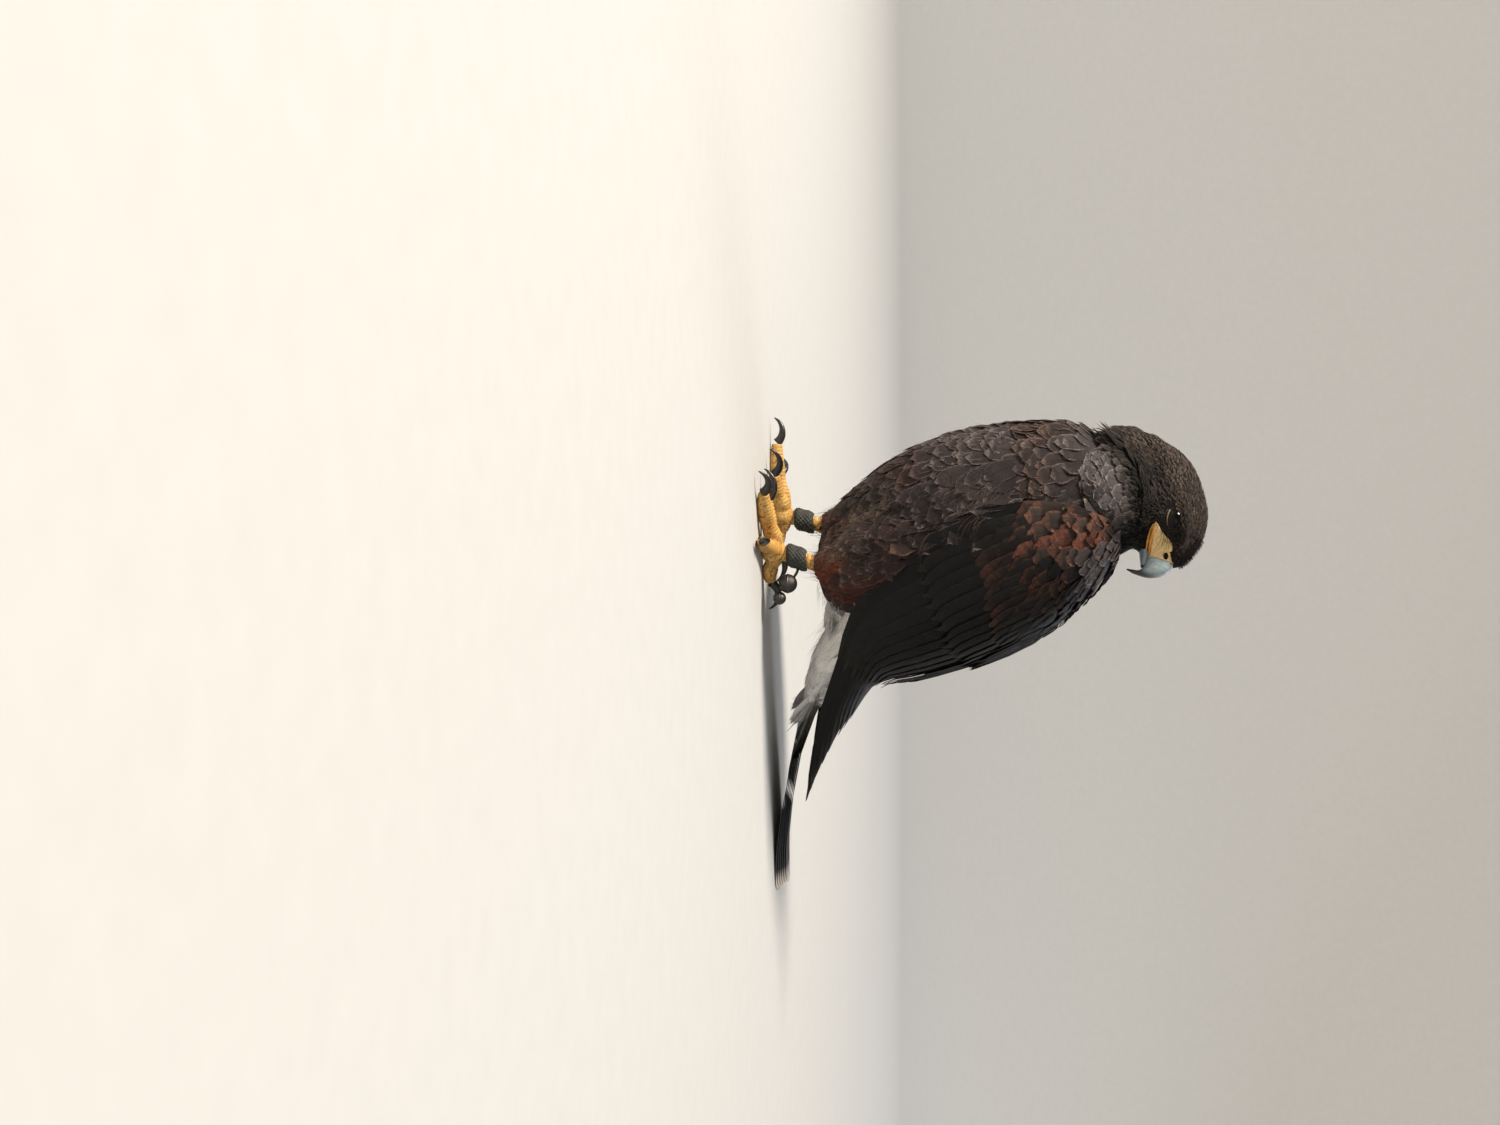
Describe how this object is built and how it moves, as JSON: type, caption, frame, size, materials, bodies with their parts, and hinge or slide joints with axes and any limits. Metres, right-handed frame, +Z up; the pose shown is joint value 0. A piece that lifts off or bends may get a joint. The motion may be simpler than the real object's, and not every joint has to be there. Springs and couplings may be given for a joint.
{
  "type": "harris hawk",
  "caption": "Still life-size hawk standing on its feet and laid-back tail, wings folded, head turned to look over its left shoulder.",
  "frame": {"origin": "on the floor, at the middle of the outline of the whole model seen from above", "axes": "+Z up, the breast faces -Y, the tail points to +Y, +X is the bird's left side"},
  "size_m": [0.1626, 0.3528, 0.2989],
  "materials": {
    "body_feathers": "soft matte feathers, dark grey-brown with thin paler fringes",
    "head_feathers": "soft matte feathers, blackish brown with fine streaks",
    "wing_feathers": "smooth low-sheen flight feathers, blackish brown, chestnut at the wrist",
    "thigh_feathers": "soft matte feathers, chestnut with grey-brown streaks",
    "white_feathers": "fluffy white undertail coverts",
    "tail_feathers": "smooth low-sheen feathers, black with a white base and a pale tip",
    "yellow_skin": "bare yellow skin, scaled on the legs and toes",
    "bill_horn": "blue-grey horn darkening to a black tip",
    "claw_horn": "polished black horn",
    "eye": "clear wet cornea over a dark brown iris",
    "anklet_leather": "rough black leather",
    "bell_metal": "dull dark-grey metal"
  },
  "bodies": {
    "root": {"torso": "body_feathers", "neck": "head_feathers", "head": "head_feathers", "cere": "yellow_skin", "bill_upper": "bill_horn", "bill_lower": "bill_horn", "eye_left": "eye", "eye_right": "eye", "thigh_left": "thigh_feathers", "thigh_right": "thigh_feathers", "tarsus_left": "yellow_skin", "tarsus_right": "yellow_skin", "foot_left": "yellow_skin", "foot_right": "yellow_skin", "anklet_left": "anklet_leather", "anklet_right": "anklet_leather", "claw_left_hallux": "claw_horn", "claw_left_inner": "claw_horn", "claw_left_middle": "claw_horn", "claw_left_outer": "claw_horn", "claw_right_hallux": "claw_horn", "claw_right_inner": "claw_horn", "claw_right_middle": "claw_horn", "claw_right_outer": "claw_horn", "bell_large": "bell_metal", "bell_small": "bell_metal", "bell_strap": "anklet_leather", "tail_coverts": "white_feathers", "tail": "tail_feathers", "wing_left": "wing_feathers", "wing_right": "wing_feathers"}
  },
  "joints": []
}
